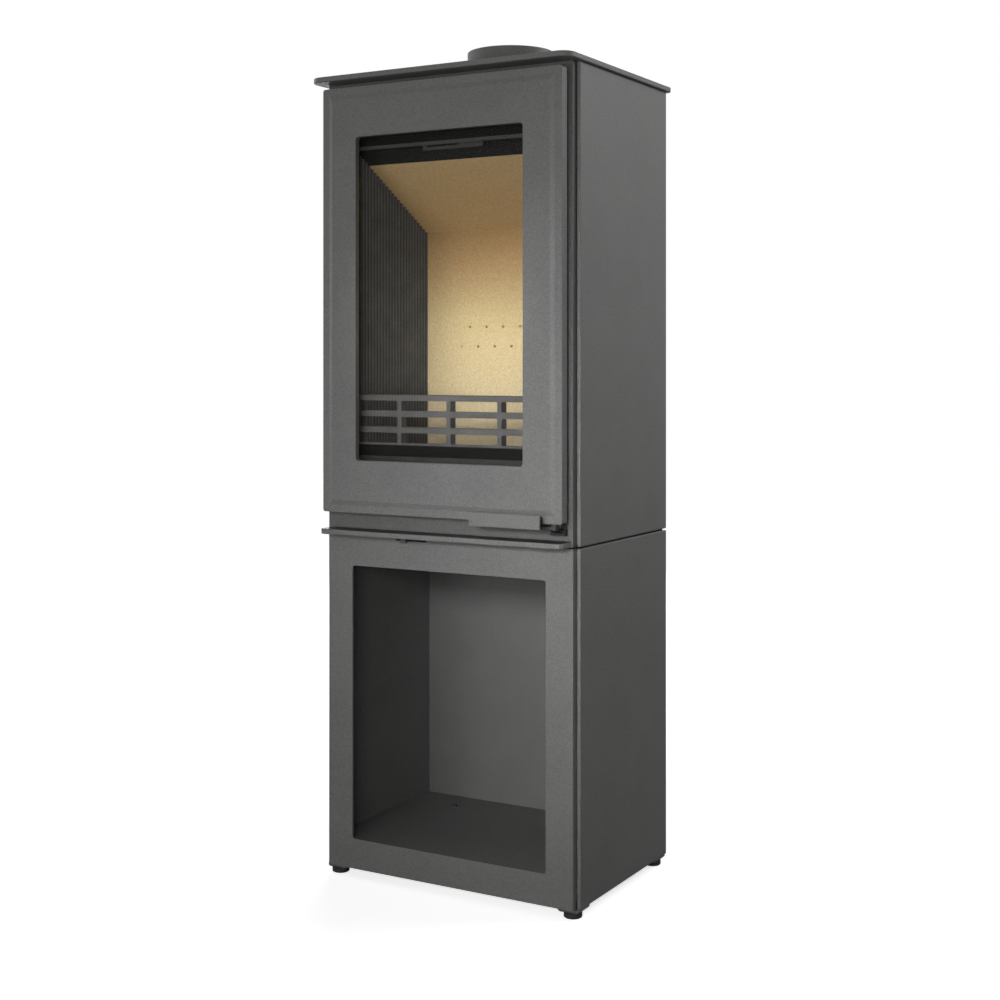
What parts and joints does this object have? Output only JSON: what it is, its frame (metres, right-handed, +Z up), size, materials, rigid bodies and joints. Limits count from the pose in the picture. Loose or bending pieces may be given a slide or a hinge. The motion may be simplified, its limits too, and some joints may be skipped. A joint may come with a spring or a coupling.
{
  "type": "wood burning stove",
  "caption": "Tall steel wood burning stove on an open log-store base, with a glazed cast door, fluted firebox liners, log guard, air control and a round flue collar.",
  "frame": {"origin": "on the floor, below the middle of the stove's overall box", "axes": "+Z up, front faces -Y, +X to the right as seen from the front"},
  "size_m": [0.437, 0.346, 1.2455],
  "materials": {
    "anthracite_paint": "fine-grained matt heat-resistant paint",
    "black_heat_paint": "matt black heat-resistant paint",
    "grey_cast_iron": "sand-cast, matt black",
    "vermiculite_board": "pressed vermiculite, speckled",
    "glass_ceramic": "clear, polished",
    "glass_fibre_rope": "braided glass fibre, graphite grey",
    "glass_fibre_tape": "flat woven glass fibre tape",
    "zinc_plated_steel": "zinc plated",
    "blackened_screw_steel": "black oxide",
    "blackened_steel": "black oxide, oiled",
    "black_foot_steel": "black zinc"
  },
  "bodies": {
    "cabinet": {"base_front": "anthracite_paint", "base_left_side": "anthracite_paint", "base_right_side": "anthracite_paint", "base_back": "anthracite_paint", "log_floor": "anthracite_paint", "joint_plate": "black_heat_paint", "foot_plates": "anthracite_paint", "foot_nuts": "zinc_plated_steel", "floor_screws": "blackened_screw_steel", "joining_bolts": "zinc_plated_steel", "joining_nuts": "zinc_plated_steel", "body_front": "anthracite_paint", "body_left_side": "anthracite_paint", "body_right_side": "anthracite_paint", "body_back": "anthracite_paint", "body_floor": "black_heat_paint", "rear_cover": "anthracite_paint", "rear_cover_screws": "blackened_screw_steel", "ledge": "anthracite_paint", "top_plate": "anthracite_paint", "flue_collar": "anthracite_paint", "collar_bolts": "zinc_plated_steel", "firebox_shell": "black_heat_paint", "smoke_chamber": "black_heat_paint", "firebox_top": "black_heat_paint", "rear_blanking_plate": "black_heat_paint", "air_box": "black_heat_paint", "secondary_duct": "black_heat_paint", "left_liner": "grey_cast_iron", "right_liner": "grey_cast_iron", "rear_liner": "vermiculite_board", "baffle": "vermiculite_board", "smoke_plate": "black_heat_paint", "air_wash_deflector": "black_heat_paint", "hearth_plate": "grey_cast_iron", "grate": "grey_cast_iron", "ash_pan": "black_heat_paint", "log_guard": "grey_cast_iron", "hinge_brackets": "black_heat_paint", "hinge_pins": "zinc_plated_steel", "latch_keeper": "blackened_steel", "keeper_screws": "blackened_screw_steel"},
    "door": {"door_frame": "anthracite_paint", "door_glass": "glass_ceramic", "glass_gasket": "glass_fibre_tape", "glass_clips": "zinc_plated_steel", "clip_screws": "zinc_plated_steel", "door_rope": "glass_fibre_rope"},
    "handle": {"handle_plate": "anthracite_paint", "latch_lever": "blackened_steel", "latch_cam": "blackened_steel", "latch_pivot": "blackened_steel", "hub_screw": "blackened_screw_steel", "handle_screws": "blackened_screw_steel"},
    "air_control": {"air_slider": "zinc_plated_steel", "air_lever": "zinc_plated_steel"},
    "front_left_foot": {"foot_front_left": "black_foot_steel"},
    "front_right_foot": {"foot_front_right": "black_foot_steel"},
    "rear_left_foot": {"foot_rear_left": "black_foot_steel"},
    "rear_right_foot": {"foot_rear_right": "black_foot_steel"}
  },
  "joints": [
    {"name": "door_hinge", "type": "hinge", "parent": "cabinet", "child": "door", "pos_m": [-0.1915, -0.149, 0.86], "axis": [0, 0, -1], "range_deg": [0, 100]},
    {"name": "handle_turn", "type": "hinge", "parent": "door", "child": "handle", "pos_m": [0.186, -0.151, 0.54], "axis": [0, 0, 1], "range_deg": [0, 45]},
    {"name": "air_control_slide", "type": "slide", "parent": "cabinet", "child": "air_control", "axis": [1, 0, 0], "range_m": [-0.009, 0.031]},
    {"name": "front_left_foot_turn", "type": "hinge", "parent": "cabinet", "child": "front_left_foot", "pos_m": [-0.1972, -0.119, 0.02], "axis": [0, 0, 1], "continuous": true},
    {"name": "front_right_foot_turn", "type": "hinge", "parent": "cabinet", "child": "front_right_foot", "pos_m": [0.1972, -0.119, 0.02], "axis": [0, 0, 1], "continuous": true},
    {"name": "rear_left_foot_turn", "type": "hinge", "parent": "cabinet", "child": "rear_left_foot", "pos_m": [-0.1972, 0.145, 0.02], "axis": [0, 0, 1], "continuous": true},
    {"name": "rear_right_foot_turn", "type": "hinge", "parent": "cabinet", "child": "rear_right_foot", "pos_m": [0.1972, 0.145, 0.02], "axis": [0, 0, 1], "continuous": true}
  ]
}
